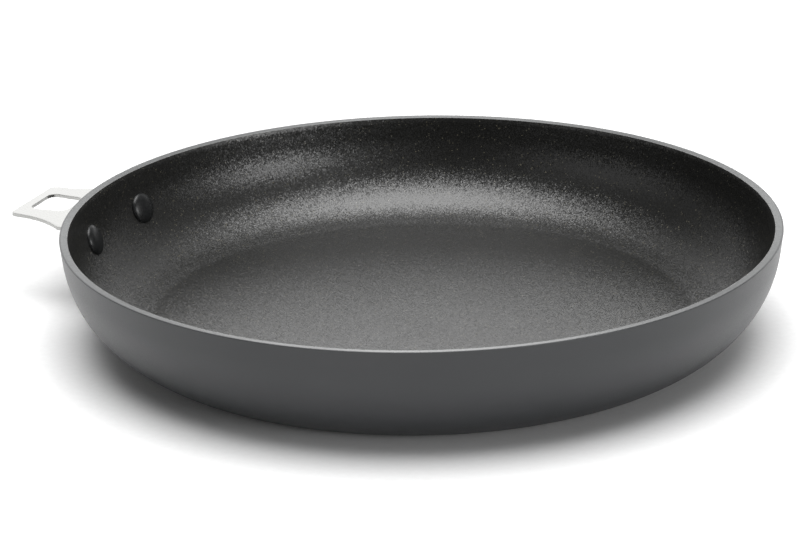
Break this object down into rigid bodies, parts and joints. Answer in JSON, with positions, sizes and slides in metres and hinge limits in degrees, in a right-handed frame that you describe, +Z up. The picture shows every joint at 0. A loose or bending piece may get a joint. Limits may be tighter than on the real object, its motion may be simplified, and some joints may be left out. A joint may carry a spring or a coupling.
{
  "type": "frying pan",
  "caption": "Round cast frying pan with a ground rim, a non-stick lining and a riveted steel tongue with a window for a clip-on handle.",
  "frame": {"origin": "on the dish's axis, in the plane that the base disc rests on", "axes": "+Z up out of the dish, -X along the bracket's tongue, +Y to the left of someone who holds the handle"},
  "size_m": [0.357, 0.32, 0.05],
  "materials": {
    "cast_aluminium": "satin",
    "nonstick_coating": "satin",
    "grey_lacquer": "satin",
    "base_steel": "satin",
    "bracket_steel": "satin",
    "rivet_metal": "satin",
    "head_coating": "satin"
  },
  "bodies": {
    "root": {"pan_body": "cast_aluminium", "nonstick_lining": "nonstick_coating", "outer_lacquer": "grey_lacquer", "base_disc": "base_steel", "handle_bracket": "bracket_steel", "rivet_left": "rivet_metal", "rivet_right": "rivet_metal", "rivet_coat_left": "head_coating", "rivet_coat_right": "head_coating"}
  },
  "joints": []
}
